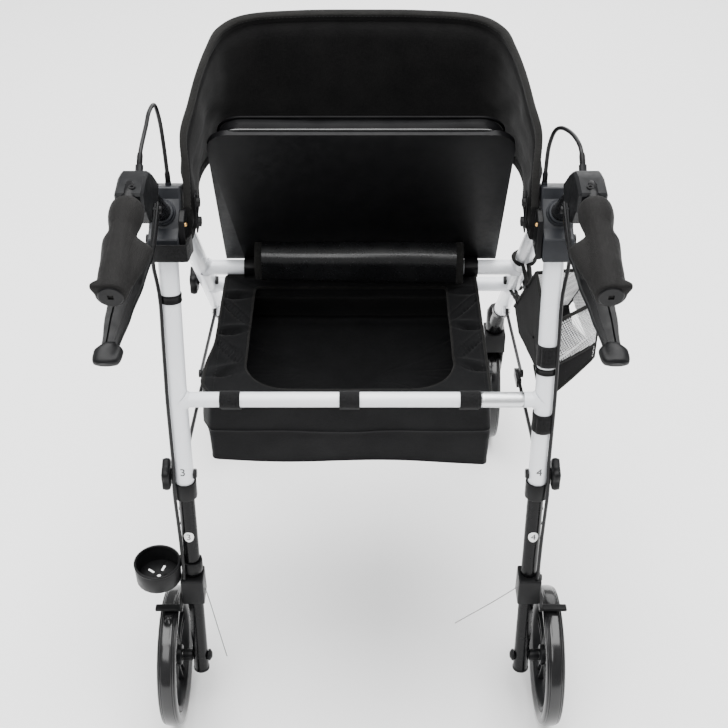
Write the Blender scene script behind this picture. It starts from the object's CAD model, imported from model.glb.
from math import cos, exp, pi, radians, sin, tan
import bpy
import bmesh
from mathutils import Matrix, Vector, noise
from mathutils.geometry import interpolate_bezier


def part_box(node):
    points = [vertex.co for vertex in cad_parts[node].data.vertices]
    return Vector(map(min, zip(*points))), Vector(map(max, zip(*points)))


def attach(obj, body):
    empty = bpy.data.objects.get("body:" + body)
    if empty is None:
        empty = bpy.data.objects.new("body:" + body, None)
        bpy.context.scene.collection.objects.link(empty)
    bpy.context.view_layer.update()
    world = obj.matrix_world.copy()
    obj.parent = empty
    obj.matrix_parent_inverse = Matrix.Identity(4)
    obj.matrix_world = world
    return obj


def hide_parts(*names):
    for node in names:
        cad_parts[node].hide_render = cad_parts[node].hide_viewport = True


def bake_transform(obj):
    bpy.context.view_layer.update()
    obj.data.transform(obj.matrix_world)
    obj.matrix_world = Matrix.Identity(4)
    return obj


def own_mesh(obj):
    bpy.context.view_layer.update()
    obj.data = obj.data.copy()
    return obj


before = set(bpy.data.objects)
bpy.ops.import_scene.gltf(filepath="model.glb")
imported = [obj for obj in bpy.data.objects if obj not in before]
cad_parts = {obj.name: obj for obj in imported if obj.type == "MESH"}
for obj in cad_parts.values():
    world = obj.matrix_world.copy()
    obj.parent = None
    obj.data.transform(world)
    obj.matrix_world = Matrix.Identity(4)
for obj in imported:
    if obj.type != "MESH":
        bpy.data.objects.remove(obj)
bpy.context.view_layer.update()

print("frame loaded")

# Sizes shared by several pieces, as in the model: metres, side places are (forward of the rear axle, height)
rollator = {
    "axleY": -0.268, "tubeX": 0.2375, "tubeRadius": 0.0127, "legRadius": 0.0111, "rearWheelX": 0.2745,
    "rearAxle": Vector((0, 0.102)), "crossbar": Vector((0.0455, 0.554)), "foldPivot": Vector((0.093, 0.768)),
    "frontTop": Vector((0.147, 0.8)), "frontSlope": radians(49.3), "seatBar": Vector((0.361, 0.549)),
    "rearKnob": 0.435, "frontKnob": 0.41,
}
sideSign = {"left": -1, "right": 1}
tubeX, tubeRadius, legRadius = rollator["tubeX"], rollator["tubeRadius"], rollator["legRadius"]
rearAxle, crossbar, slope = rollator["rearAxle"], rollator["crossbar"], rollator["frontSlope"]
lowerLean = (crossbar - rearAxle).normalized()
upperLean = (rollator["foldPivot"] - crossbar).normalized()
frontDown = Vector((cos(slope), -sin(slope)))
frontBehind = Vector((-sin(slope), -cos(slope)))
rightward = Vector((1, 0, 0))
upward = Vector((0, 0, 1))


def place(x, forward, height):
    return Vector((x, forward + rollator["axleY"], height))


def at(x, spot):
    return place(x, spot[0], spot[1])


def onUpright(height):  # the upright's centre line at a height
    start, lean = (crossbar, upperLean) if height > crossbar.y else (rearAxle, lowerLean)
    return start + lean * (height - start.y) / lean.y


def onFrontLeg(along):
    return rollator["frontTop"] + frontDown * along


def shares(count):  # evenly spaced, from 0 to 1
    return [step / count for step in range(count + 1)]


def turns(count):  # the angles of a circle
    return [2 * pi * step / count for step in range(count)]


def degrees(start, end, step):
    return [radians(angle) for angle in range(start, end, step)]


def closed(line):
    return line + line[:1]


def smoothStep(value, low, high):
    t = min(1, max(0, (value - low) / (high - low)))
    return t * t * (3 - 2 * t)


def dent(value, middle, width):  # a bell curve
    return exp(-((value - middle) / width) ** 2)


def folds(x, y, z, size=1.0, amount=1.0):  # soft, long wrinkles
    value = noise.noise(Vector((x, y, z)) * 14 / size) + 0.5 * noise.noise(Vector((y, z, x)) * 31 / size)
    return amount * value


def addObject(name, data):
    thing = bpy.data.objects.new(name, data)
    bpy.context.scene.collection.objects.link(thing)
    return thing


# Camera: the photograph's viewing angle on the back of the object
cameraSet = {"place": (0, -1.521, 1.627), "down": radians(38), "lens": 64.3, "shift": 0.0041}
camera = addObject("camera", bpy.data.cameras.new("camera"))
camera.data.lens = cameraSet["lens"]
camera.data.sensor_width = 36
camera.data.shift_x = cameraSet["shift"]
camera.location = cameraSet["place"]
camera.rotation_euler = (pi / 2 - cameraSet["down"], 0, 0)
bpy.context.scene.camera = camera
print("camera set")


# Node helpers
def addNode(material, kind, inputs, **settings):
    node = material.node_tree.nodes.new(kind)
    for key, value in settings.items():
        setattr(node, key, value)
    for key, value in inputs.items():
        if isinstance(value, bpy.types.NodeSocket):
            material.node_tree.links.new(value, node.inputs[key])
        else:
            node.inputs[key].default_value = value
    return node


def shaderInput(material, name):
    return material.node_tree.nodes["Principled BSDF"].inputs[name]


def feed(material, value, name):
    material.node_tree.links.new(value, shaderInput(material, name))


def onObject(material, stretch=(1, 1, 1), turn=(0, 0, 0)):
    source = addNode(material, "ShaderNodeTexCoord", {}).outputs["Object"]
    mapping = addNode(material, "ShaderNodeMapping", {"Vector": source, "Scale": stretch, "Rotation": turn})
    return mapping.outputs["Vector"]


def noiseField(material, scale, detail=4.0, stretch=(1, 1, 1)):
    inputs = {"Vector": onObject(material, stretch), "Scale": scale, "Detail": detail}
    return addNode(material, "ShaderNodeTexNoise", inputs).outputs["Fac"]


def cells(material, scale, randomness=1.0, turn=(0, 0, 0)):
    inputs = {"Vector": onObject(material, (1, 1, 1), turn), "Scale": scale, "Randomness": randomness}
    return addNode(material, "ShaderNodeTexVoronoi", inputs).outputs["Distance"]


def added(material, first, second, operation="ADD"):
    return addNode(material, "ShaderNodeMath", {0: first, 1: second}, operation=operation).outputs[0]


def ramp(material, value, low, first, high, second):
    node = addNode(material, "ShaderNodeValToRGB", {"Fac": value})
    for element, position, colour in zip(node.color_ramp.elements, (low, high), (first, second)):
        element.position = position
        element.color = (*colour, 1)
    return node.outputs["Color"]


def tint(material, value, first, second, low=0.35, high=0.65):
    feed(material, ramp(material, value, low, first, high, second), "Base Color")


def roughen(material, value, low, high):
    feed(material, ramp(material, value, 0.3, [low] * 3, 0.7, [high] * 3), "Roughness")


def bump(material, value, strength, distance):
    inputs = {"Height": value, "Strength": strength, "Distance": distance}
    before = shaderInput(material, "Normal").links
    if before:
        inputs["Normal"] = before[0].from_socket
    feed(material, addNode(material, "ShaderNodeBump", inputs).outputs["Normal"], "Normal")


# Finishes: tints are (dark, light, noise), dulls (low, high, noise) and bumps (strength, distance, noise)
def makeFinish(name, colour, rough, tints=(), dulls=(), bumps=(), **sockets):
    material = bpy.data.materials.new(name)
    material.use_nodes = True
    material.diffuse_color = (*colour, 1)
    shaderInput(material, "Base Color").default_value = (*colour, 1)
    shaderInput(material, "Roughness").default_value = rough
    for key, value in sockets.items():
        words = "".join(" " + letter if letter.isupper() else letter for letter in key)
        shaderInput(material, words[0].upper() + words[1:]).default_value = value
    for change, fields in ((tint, tints), (roughen, dulls), (bump, bumps)):
        for first, second, *field in fields:
            change(material, noiseField(material, *field), first, second)
    return material


def makeNylon(name, dark, light, rough, grain=0.25):  # moulded plastic with a fine spark-eroded grain
    return makeFinish(name, dark, rough, [(dark, light, 45, 8)], [(rough - 0.06, rough + 0.1, 150, 6)],
                      [(grain, 0.00018, 1500, 3)])


def makeMetal(name, colour, rough, scratch=0.12):
    return makeFinish(name, colour, rough, (), [(rough - 0.1, rough + 0.14, 240, 5, (1, 1, 6))],
                      [(scratch, 0.0002, 600, 3, (8, 1, 1))], metallic=1.0)


def makeVinyl(name, dark, light, rough):
    return makeFinish(name, dark, rough, [(dark, light, 30, 7)], [(rough - 0.03, rough + 0.04, 50, 3)],
                      [(0.008, 0.0002, 300, 2), (0.04, 0.0012, 40, 2)], coatWeight=0.04, coatRoughness=0.3)


def makeCloth(name, dark, light, pitch, strength, rough=0.88):  # thick and thin threads at right angles
    material = makeFinish(name, dark, rough, sheenWeight=0.05, sheenRoughness=0.5)
    threads = added(material, noiseField(material, 0.22 / pitch, 2, (1, 1, 9)),
                    noiseField(material, 0.22 / pitch, 2, (9, 9, 1)))
    bump(material, threads, strength, pitch * 0.5)
    both = added(material, threads, noiseField(material, 26, 6))
    tint(material, added(material, both, 0.3333, "MULTIPLY"), dark, light, 0.38, 0.62)
    bump(material, noiseField(material, 110, 5), 0.16, 0.0012)
    return material


def makeGripRubber():
    material = makeFinish("gripRubber", (0.006, 0.006, 0.006), 0.52,
                          [((0.0032, 0.0031, 0.0031), (0.013, 0.0124, 0.012), 1800, 3)], [(0.44, 0.62, 120, 5)],
                          sheenWeight=0.02)
    bump(material, cells(material, 1100), 0.75, 0.0006)
    return material


def makeNet():  # white knitted mesh: round holes in a staggered grid
    material = makeFinish("whiteNet", (0.7, 0.7, 0.7), 0.8)
    holes = cells(material, 330, 0.0, (0.62, 0.79, 0.3))
    tint(material, holes, (0.36, 0.36, 0.37), (0.82, 0.82, 0.82), 0.28, 0.46)
    bump(material, holes, 0.6, 0.0008)
    return material


plain = [(0.42, 0.6, 400, 4)], [(0.05, 0.0002, 900, 2)]
finishes = {  # each with its specular level (or None) and the model's slot
    "white": (makeFinish("whiteEnamel", (0.8, 0.82, 0.85), 0.24,
                         [((0.775, 0.795, 0.83), (0.82, 0.835, 0.865), 9, 6)], [(0.24, 0.29, 12, 3)],
                         coatWeight=0.35, coatRoughness=0.08), None, "white_frame"),
    "tube": (makeFinish("glossTube", (0.003, 0.003, 0.0034), 0.24, (), [(0.18, 0.32, 80, 6)],
                        [(0.02, 0.0003, 200, 2)]),
             0.14, "black_tube"),
    "nylon": (makeNylon("greyNylon", (0.0115, 0.0125, 0.015), (0.0165, 0.0178, 0.021), 0.4), 0.26,
              "grey_plastic"),
    "housing": (makeNylon("housingNylon", (0.0046, 0.0048, 0.0054), (0.0076, 0.0079, 0.0087), 0.4), 0.14,
                "grey_plastic"),
    "lever": (makeNylon("leverNylon", (0.004, 0.0041, 0.0045), (0.0068, 0.007, 0.0075), 0.34, 0.16), 0.17,
              "black_plastic"),
    "black": (makeNylon("blackNylon", (0.0032, 0.0032, 0.0036), (0.0058, 0.0058, 0.0062), 0.36, 0.18), 0.14,
              "black_plastic"),
    "board": (makeNylon("boardNylon", (0.003, 0.003, 0.0034), (0.0046, 0.0046, 0.005), 0.36, 0.22), 0.12,
              "black_plastic"),
    "rim": (makeNylon("rimNylon", (0.004, 0.0042, 0.0047), (0.007, 0.0073, 0.008), 0.38), 0.16, "grey_plastic"),
    "grip": (makeGripRubber(), 0.07, "grip_rubber"),
    "tyre": (makeFinish("tyreRubber", (0.004, 0.004, 0.0045), 0.24,
                        [((0.003, 0.003, 0.0034), (0.008, 0.008, 0.0085), 60, 7)],
                        [(0.13, 0.2, 40, 4)], [(0.02, 0.0003, 160, 2)]), 0.46, "tyre"),
    "steel": (makeMetal("zincPlate", (0.62, 0.62, 0.61), 0.28), None, "steel"),
    "brass": (makeMetal("brassPin", (0.7, 0.42, 0.16), 0.3), None, "steel"),
    "wire": (makeMetal("wireSteel", (0.13, 0.13, 0.13), 0.42, 0.05), None, "steel"),
    "foil": (makeMetal("foilLabel", (0.66, 0.67, 0.68), 0.38, 0.05), None, "steel"),
    "cable": (makeNylon("cableCover", (0.0045, 0.0045, 0.005), (0.0075, 0.0075, 0.008), 0.32, 0.08), 0.2,
              "cable_cover"),
    "cloth": (makeCloth("bandCloth", (0.0034, 0.0034, 0.0036), (0.0088, 0.0086, 0.0086), 0.0011, 0.35), 0.05,
              "woven_cloth"),
    "bagCloth": (makeCloth("bagCloth", (0.0032, 0.0033, 0.0036), (0.0072, 0.0073, 0.0078), 0.0009, 0.28, 0.62),
                 0.07, "woven_cloth"),
    "pouchCloth": (makeCloth("pouchCloth", (0.0028, 0.0028, 0.003), (0.0062, 0.0062, 0.0065), 0.0009, 0.25,
                             1.0), 0.0,
                   "woven_cloth"),
    "tape": (makeCloth("bindingTape", (0.005, 0.0049, 0.0047), (0.013, 0.0127, 0.0121), 0.0016, 0.55), 0.1,
             "woven_cloth"),
    "thread": (makeCloth("sewingThread", (0.014, 0.014, 0.014), (0.03, 0.03, 0.03), 0.0006, 0.4), 0.1,
               "woven_cloth"),
    "vinyl": (makeVinyl("seatVinyl", (0.0034, 0.0034, 0.0038), (0.0058, 0.0058, 0.0062), 0.46), 0.025,
              "seat_vinyl"),
    "flap": (makeVinyl("flapVinyl", (0.004, 0.0041, 0.0046), (0.0072, 0.0074, 0.008), 0.27), 0.42,
             "seat_vinyl"),
    "lip": (makeVinyl("lipVinyl", (0.004, 0.0041, 0.0046), (0.0072, 0.0074, 0.008), 0.17), 0.9, "seat_vinyl"),
    "net": (makeNet(), None, "woven_cloth"),
    "fuzz": (makeFinish("loopTape", (0.007, 0.007, 0.0072), 0.9,
                        [((0.004, 0.004, 0.0042), (0.016, 0.016, 0.0165), 900, 4)],
                        (), [(0.9, 0.0007, 1200, 3)], sheenWeight=0.1, sheenRoughness=0.4), 0.06,
             "woven_cloth"),
    "sticker": (makeFinish("paperSticker", (0.86, 0.86, 0.85), 0.55, (), *plain), None, "white_frame"),
    "ink": (makeFinish("darkInk", (0.02, 0.02, 0.022), 0.5, (), *plain), None, "black_plastic"),
}
for material, level, slot in finishes.values():
    if level is not None:
        shaderInput(material, "Specular IOR Level").default_value = level
print("finishes ready")


# Mesh helpers
def changed(mesh, change):
    shape = bmesh.new()
    shape.from_mesh(mesh)
    change(shape)
    shape.to_mesh(mesh)
    shape.free()


def smoothed(thing, angle=38):
    thing.data.shade_smooth()
    thing.data.set_sharp_from_angle(angle=radians(angle))
    return thing


def meshObject(name, points, faces, look):
    mesh = bpy.data.meshes.new(name)
    mesh.from_pydata([tuple(point) for point in points], [], faces)
    changed(mesh, lambda shape: bmesh.ops.recalc_face_normals(shape, faces=shape.faces))
    mesh.materials.append(finishes[look][0])
    return smoothed(addObject(name, mesh))


def loft(name, rings, look, joined=False, capped=True):
    count = len(rings[0])
    faces = []
    for low in range(len(rings) if joined else len(rings) - 1):
        high = (low + 1) % len(rings)
        for first in range(count):
            second = (first + 1) % count
            faces.append((low * count + first, low * count + second, high * count + second,
                          high * count + first))
    if capped and not joined:
        faces += [range(count), range((len(rings) - 1) * count, len(rings) * count)]
    return meshObject(name, [point for ring in rings for point in ring], faces, look)


def modified(thing, kind, **settings):
    step = thing.modifiers.new("step", kind)
    for key, value in settings.items():
        setattr(step, key, value)
    return applied(thing)


def applied(thing):
    bpy.context.view_layer.update()
    mesh = bpy.data.meshes.new_from_object(thing.evaluated_get(bpy.context.evaluated_depsgraph_get()))
    old = thing.data
    thing.modifiers.clear()
    thing.data = mesh
    bpy.data.meshes.remove(old)
    return thing


def ribbonSheet(name, rows, look, thickness):
    count = len(rows[0])
    faces = []
    for row in range(len(rows) - 1):
        for base in range(row * count, row * count + count - 1):
            faces.append((base, base + 1, base + count + 1, base + count))
    sheet = meshObject(name, [point for row in rows for point in row], faces, look)
    return modified(sheet, "SOLIDIFY", thickness=thickness, offset=0)


def bevelled(thing, width, segments=3, angle=35):
    modified(thing, "BEVEL", width=width, segments=segments, limit_method="ANGLE", angle_limit=radians(angle),
             harden_normals=False)
    return smoothed(thing, 50)


def joined(name, things):
    base = things[0]
    slots = base.data.materials
    shape = bmesh.new()
    for thing in things:
        places = []
        for material in thing.data.materials:
            if slots.find(material.name) < 0:
                slots.append(material)
            places.append(slots.find(material.name))
        shift = len(shape.faces)
        shape.from_mesh(thing.data)
        shape.faces.ensure_lookup_table()
        for face in shape.faces[shift:]:
            face.material_index = places[face.material_index]
    shape.to_mesh(base.data)
    shape.free()
    base.name = name
    base.data.name = name
    for thing in things[1:]:
        bpy.data.objects.remove(thing, do_unlink=True)
    return base


def ringAround(centre, first, second, radius, sides):
    return [centre + radius * (cos(angle) * first + sin(angle) * second) for angle in turns(sides)]


def tube(name, path, radius, look, sides=32):
    sizes = radius if isinstance(radius, list) else [radius] * len(path)
    across = rightward
    rings = []
    for point, size, before, after in zip(path, sizes, path[:1] + path, path[1:] + path[-1:]):
        tangent = ((point - before).normalized() + (after - point).normalized()).normalized()
        if abs(tangent.dot(across)) > 0.92:
            across = Vector((0, 1, 0))
        across = (across - across.project(tangent)).normalized()
        rings.append(ringAround(point, across, tangent.cross(across), size, sides))
    return loft(name, rings, look)


def turned(name, profile, centre, axis, look, sides=48, hollow=False):  # (radius, place along the axis)
    axis = axis.normalized()
    first = Vector((0, 0, -1)) if abs(axis.z) < 0.9 else Vector((0, -1, 0))
    first = (first - first.project(axis)).normalized()
    rings = [ringAround(centre + axis * along, first, axis.cross(first), max(radius, 0.00001), sides)
             for radius, along in profile]
    return loft(name, rings, look, hollow)


def slab(name, outline, xFrom, xTo, look):
    return loft(name, [[at(x, spot) for spot in outline] for x in (xFrom, xTo)], look)


def roundedPath(points, bend, steps=9):
    path = [points[0]]
    for before, corner, after in zip(points, points[1:], points[2:]):
        back = (before - corner).normalized()
        ahead = (after - corner).normalized()
        turn = pi - back.angle(ahead)
        reach = bend * tan(turn / 2)
        start, end = corner + back * reach, corner + ahead * reach
        handle = reach * 4 / 3 * tan(turn / 4) / tan(turn / 2)
        path += interpolate_bezier(start, start - back * handle, end - ahead * handle, end, steps)
    return path + points[-1:]


def between(a, b, c, d, t):  # the smooth curve from b to c
    return 0.5 * (2 * b + (c - a) * t + (2 * a - 5 * b + 4 * c - d) * t * t + (3 * b - a - 3 * c + d) * t ** 3)


def runOf(line):
    return sum((after - before).length for before, after in zip(line, line[1:]))


def smoothPath(points, spacing):
    guide = [2 * points[0] - points[1], *points, 2 * points[-1] - points[-2]]
    fine = []
    for four in zip(guide, guide[1:], guide[2:], guide[3:]):
        fine += [between(*four, t) for t in shares(24)[:-1]]
    fine.append(points[-1])
    length = runOf(fine)
    count = max(2, round(length / spacing))
    line = [fine[0]]
    passed = 0.0
    for before, after in zip(fine, fine[1:]):
        passed += (after - before).length
        if passed >= len(line) * length / count and len(line) < count:
            line.append(after)
    return line + fine[-1:]


def fineTable(rows, steps):  # the rows with smooth rows between them
    guide = [rows[0], *rows, rows[-1]]
    fine = []
    for four in zip(guide, guide[1:], guide[2:], guide[3:]):
        fine += [[between(*column, t) for column in zip(*four)] for t in shares(steps)[:-1]]
    return fine + [list(rows[-1])]


def keep(thing, body, *replaced):  # the piece moves with its body and stands for the model's nodes
    if body == "between":  # cloth that hangs between the crossbar and the front frame
        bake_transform(thing)
    else:
        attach(thing, body)
    if replaced:
        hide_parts(*replaced)
    return thing


def dome(name, centre, axis, radius, height, look, sides=32):  # a rounded screw or rivet head
    arc = [pi / 2 * share for share in shares(6)[1:]]
    profile = [(radius, 0)] + [(radius * cos(angle) + 0.00002, height * (0.35 + 0.65 * sin(angle)))
                               for angle in arc]
    return turned(name, profile, centre, axis, look, sides)


def socketScrew(name, centre, axis, radius):
    profile = ((1, 0), (1, 0.35), (0.82, 0.62), (0.46, 0.62), (0.42, 0.1), (0, 0.1))
    return turned(name, [(radius * out, radius * along) for out, along in profile], centre, axis, "black", 30)


# Floor and light
stageSet = {
    "half": 6.0, "colour": (0.95, 0.95, 0.95), "glow": 0.62,
    "shades": ((0.945, 0.945, 0.945), (0.955, 0.955, 0.955)),
    "lamps": (("above", (0.0, 0.2, 4.6), (0, 0, 0.3), 5.0, 660),
              ("behindCamera", (-0.7, -2.4, 3.0), (0, 0, 0.6), 1.5, 40),
              ("rightSide", (2.6, -0.8, 1.9), (0, 0, 0.6), 1.6, 16),
              ("leftSide", (-2.8, 0.4, 1.6), (0, 0, 0.5), 1.6, 12),
              ("ahead", (0.6, 3.0, 1.8), (0, 0, 0.6), 1.8, 26)),
}


def makeStage():
    half = stageSet["half"]
    corners = [(-half, -half, 0), (half, -half, 0), (half, half, 0), (-half, half, 0)]
    floor = meshObject("floor", corners, [(0, 1, 2, 3)], "sticker")
    floor.data.materials[0] = makeFinish("paleFloor", stageSet["colour"], 0.9, [(*stageSet["shades"], 2, 2)])


def makeLight():
    for name, where, target, size, power in stageSet["lamps"]:
        lamp = addObject(name, bpy.data.lights.new(name, "AREA"))
        lamp.data.size = size
        lamp.data.energy = power
        lamp.location = where
        lamp.rotation_euler = (Vector(target) - Vector(where)).to_track_quat("-Z", "Y").to_euler()
    world = bpy.data.worlds.new("studio")
    world.use_nodes = True
    background = world.node_tree.nodes["Background"]
    background.inputs["Color"].default_value = (1, 1, 1, 1)
    background.inputs["Strength"].default_value = stageSet["glow"]
    bpy.context.scene.world = world


makeStage()
makeLight()
print("stage and light ready")

# White tubes
tubeSet = {"crossbarRadius": 0.0101, "barRadius": 0.0111, "uprightFoot": 0.405, "bend": 0.06,
           "lowerBarAlong": 0.433, "frontLength": 0.6, "frontStart": 0.004, "braceAlong": 0.538,
           "braceHeight": 0.462, "aboveFold": 0.003,
           "bead": ((0.0, 0.0031), (0.0012, 0.0023), (0.0024, 0.0011), (0.0042, 0.0001)), "collarLip": 0.0016,
           "sunk": 0.0004, "slack": 0.0003}
braceSet = {"rearX": 0.2335, "frontX": 0.2395, "rod": 0.0026, "eye": 0.0062, "gap": 0.0003, "ear": 0.004,
            "rivet": (0.005, 0.0026), "bolt": ((0.0072, 0), (0.0072, 0.0034), (0.0058, 0.0046), (0, 0.0046))}
braceOff = tubeRadius + braceSet["eye"] + 2 * braceSet["gap"]
braceRear = onUpright(tubeSet["braceHeight"]) + Vector((lowerLean.y, -lowerLean.x)) * braceOff
braceFront = onFrontLeg(tubeSet["braceAlong"]) + frontBehind * braceOff


def weldBead(spot, side, barRadius):  # the fillet where a bar meets a leg
    rings = []
    for depth, swell in tubeSet["bead"]:
        ring = []
        for angle in turns(40):
            out = Vector((cos(angle), sin(angle))) * (barRadius + swell)
            reach = max(tubeRadius ** 2 - out.x ** 2, 0.0) ** 0.5
            ring.append(at(side * (tubeX - reach - depth), spot + out))
        rings.append(ring)
    return loft("bead", rings, "white")


def bar(spot, radius):  # with its two welds
    return [turned("bar", ((radius, -tubeX), (radius, tubeX)), at(0, spot), rightward, "white", 36),
            weldBead(spot, -1, radius), weldBead(spot, 1, radius)]


def earAndBolts(side, root, joint, earX, rivetX, hand, boltSpot):  # the brace's ear and rivet, the knob's bolt
    eye = braceSet["eye"]
    out = (joint - root).normalized()
    across = Vector((-out.y, out.x)) * eye
    cap = [joint + out * eye * cos(angle) - across * sin(angle) for angle in degrees(90, -91, -15)]
    ear = slab("ear", [root - across, *cap, root + across], side * earX, side * (earX + braceSet["ear"]),
               "white")
    bolt = at(side * (tubeX - tubeRadius + tubeSet["sunk"]), boltSpot)
    return [bevelled(ear, 0.0005, 2),
            dome("rivet", at(side * rivetX, joint), rightward * side * hand, *braceSet["rivet"], "steel"),
            turned("boltHead", braceSet["bolt"], bolt, rightward * -side, "black", 6)]


def makeRearFrame():
    parts = []
    for side in sideSign.values():
        x = side * tubeX
        path = [at(x, onUpright(tubeSet["uprightFoot"])), at(x, crossbar),
                at(x, rollator["foldPivot"] + upperLean * tubeSet["aboveFold"])]
        parts.append(tube("upright", roundedPath(path, tubeSet["bend"]), tubeRadius, "white", 40))
    parts += bar(crossbar, tubeSet["crossbarRadius"])
    inner = braceSet["rearX"] + braceSet["rod"] + braceSet["gap"]
    rivetX = braceSet["rearX"] - braceSet["rod"] - tubeSet["sunk"]
    for side in sideSign.values():
        parts += earAndBolts(side, onUpright(tubeSet["braceHeight"]), braceRear, inner, rivetX, -1,
                             onUpright(rollator["rearKnob"]))
    keep(joined("rearFrameTubes", parts), "rear_frame", "rear_frame")


def makeFrontFrame():
    parts = []
    inside, lip = legRadius + tubeSet["slack"], tubeRadius + tubeSet["collarLip"]
    collar = ((inside, -0.006), (lip, -0.006), (lip, 0.012), (lip - 0.001, 0.014), (inside, 0.014))
    foot = onFrontLeg(tubeSet["frontLength"])
    for side in sideSign.values():
        x = side * tubeX
        parts.append(tube("leg", [at(x, onFrontLeg(tubeSet["frontStart"])), at(x, foot)], tubeRadius, "white",
                          40))
        parts.append(turned("endCollar", collar, at(x, foot), Vector((0, *frontDown)), "black", 40, True))
    for spot in (rollator["seatBar"], onFrontLeg(tubeSet["lowerBarAlong"])):
        parts += bar(spot, tubeSet["barRadius"])
    outer = braceSet["frontX"] - braceSet["rod"] - braceSet["gap"]
    rivetX = braceSet["frontX"] + braceSet["rod"] + tubeSet["sunk"]
    for side in sideSign.values():
        parts += earAndBolts(side, onFrontLeg(tubeSet["braceAlong"]), braceFront, outer - braceSet["ear"],
                             rivetX, 1, onFrontLeg(rollator["frontKnob"]))
    keep(joined("frontFrameTubes", parts), "main_frame", "front_frame")


makeRearFrame()
makeFrontFrame()
print("white tubes ready")

# Pieces that keep the model's own form: its flat faces are joined again and its edges rounded
# model piece, body, finish, edge width, steps, least angle; a last _ stands for left and right
hardPieces = (
    ("handle_bracket_", "main_frame", "nylon", 0.0016, 4, 30),
    ("pivot_plate_", "main_frame", "black", 0.001, 3, 30),
    ("backrest_clamp_", "main_frame", "black", 0.0009, 3, 30),
    ("brake_housing_", "main_frame", "housing", 0.006, 6, 20),
    ("leg_collar_", "rear_frame", "black", 0.0008, 2, 50),
    ("brake_clamp_", "rear_foot_", "black", 0.0011, 3, 30), ("brake_arm_", "arm_", "black", 0.001, 3, 30),
    ("rear_axle_", "rear_foot_", "black", 0.0004, 2, 50),
    ("front_extension_", "front_foot_", "tube", 0.0007, 2, 50),
    ("caster_fork_", "caster_", "black", 0.0009, 3, 30),
    ("rear_knob_", "rear_knob_body_", "black", 0.0026, 5, 25),
    ("front_knob_", "front_knob_body_", "black", 0.0026, 5, 25),
    ("brace_rear_", "rear_link_", "cable", 0.0004, 2, 50),
    ("brace_front_", "front_link_", "cable", 0.0004, 2, 50), ("cable_run_", "rear_frame", "cable", 0, 0, 0),
    ("cane_cup", "rear_foot_left", "black", 0.0007, 2, 40), ("seat_board", "seat", "board", 0.0016, 4, 30),
    ("cane_strap", "main_frame", "fuzz", 0.0003, 2, 40),
)


def mendFaces(shape):
    bmesh.ops.remove_doubles(shape, verts=shape.verts, dist=0.00002)
    bmesh.ops.dissolve_limit(shape, angle_limit=radians(0.6), verts=shape.verts, edges=shape.edges)
    for face in shape.faces:
        face.material_index = 0


def refined(node, body, look, width, segments, angle):
    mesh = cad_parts[node].data.copy()
    changed(mesh, mendFaces)
    mesh.materials.clear()
    mesh.materials.append(finishes[look][0])
    thing = addObject(node + "_shape", mesh)
    if width:
        bevelled(thing, width, segments, angle)
    else:
        smoothed(thing, 40)
    keep(thing, body, node)


for piece, body, *finish in hardPieces:
    for tag in sideSign if piece.endswith("_") else ("",):
        refined(piece + tag, body + tag if body.endswith("_") else body, *finish)
print("hard pieces refined")

# Handles
handleSet = {
    "socket": Vector((0.107, 0.798)), "socketX": 0.2417, "corner": Vector((-0.0246, 0.9207)), "cornerX": 0.246,
    "end": Vector((-0.183, 0.885)), "endX": 0.249, "bend": 0.06, "radius": 0.011, "hidden": 0.05,
    "ring": ((0.0114, -0.002), (0.0166, -0.002), (0.0166, 0.0016), (0.0158, 0.0026), (0.0146, 0.0026),
             (0.0146, 0.0062), (0.0138, 0.0074), (0.0114, 0.0074)),
    "profile": ((0.041, 0.0118), (0.0416, 0.015), (0.047, 0.0178), (0.0578, 0.0187), (0.068, 0.0174),
                (0.081, 0.0152), (0.11, 0.016), (0.136, 0.0172), (0.155, 0.0166), (0.1664, 0.0165),
                (0.1704, 0.0158), (0.1714, 0.014)),
    "wing": 0.0195, "wingFrom": 0.086, "wingPeak": 0.103, "wingTo": 0.168, "wingTurn": radians(10),
    "lip": 0.0075, "lipRise": (0.156, 0.168), "lipTurn": radians(34), "nub": 0.0034, "nubRise": (0.084, 0.095),
    "nubFall": (0.098, 0.135), "flute": 0.0004, "fluted": (0.075, 0.15),
    "cap": ((0.0132, -0.001), (0.0132, 0.0006), (0.0122, 0.0015), (0, 0.0015)), "capHole": 0.003,
    "capDepths": (-0.0004, 0.0036),
    "housingScrew": (0.2435, Vector((-0.05, 0.9236)), 0.0042), "screwHead": (0.0016, 0.001),
    "bracketScrew": (0.2583, Vector((0.088, 0.772)), 0.005),
}


def handlePoints(side):
    grip = handleSet
    corner = at(side * grip["cornerX"], grip["corner"])
    socket = at(side * grip["socketX"], grip["socket"])
    start = socket + (socket - corner).normalized() * grip["hidden"]
    return start, socket, corner, at(side * grip["endX"], grip["end"])


def cutOut(base, rings):
    cutter = loft("cutter", rings, "black")
    modified(base, "BOOLEAN", operation="DIFFERENCE", object=cutter)
    bpy.data.objects.remove(cutter, do_unlink=True)
    return smoothed(base, 40)


def makePost(side, tag):
    hidden, socket, corner, end = handlePoints(side)
    path = roundedPath([hidden, corner, end], handleSet["bend"], 14)
    keep(tube("handlePost_" + tag, path, handleSet["radius"], "tube", 36), "main_frame", "handle_post_" + tag)
    keep(turned("socketRing_" + tag, handleSet["ring"], socket, corner - socket, "nylon", 48, True),
         "main_frame")


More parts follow.
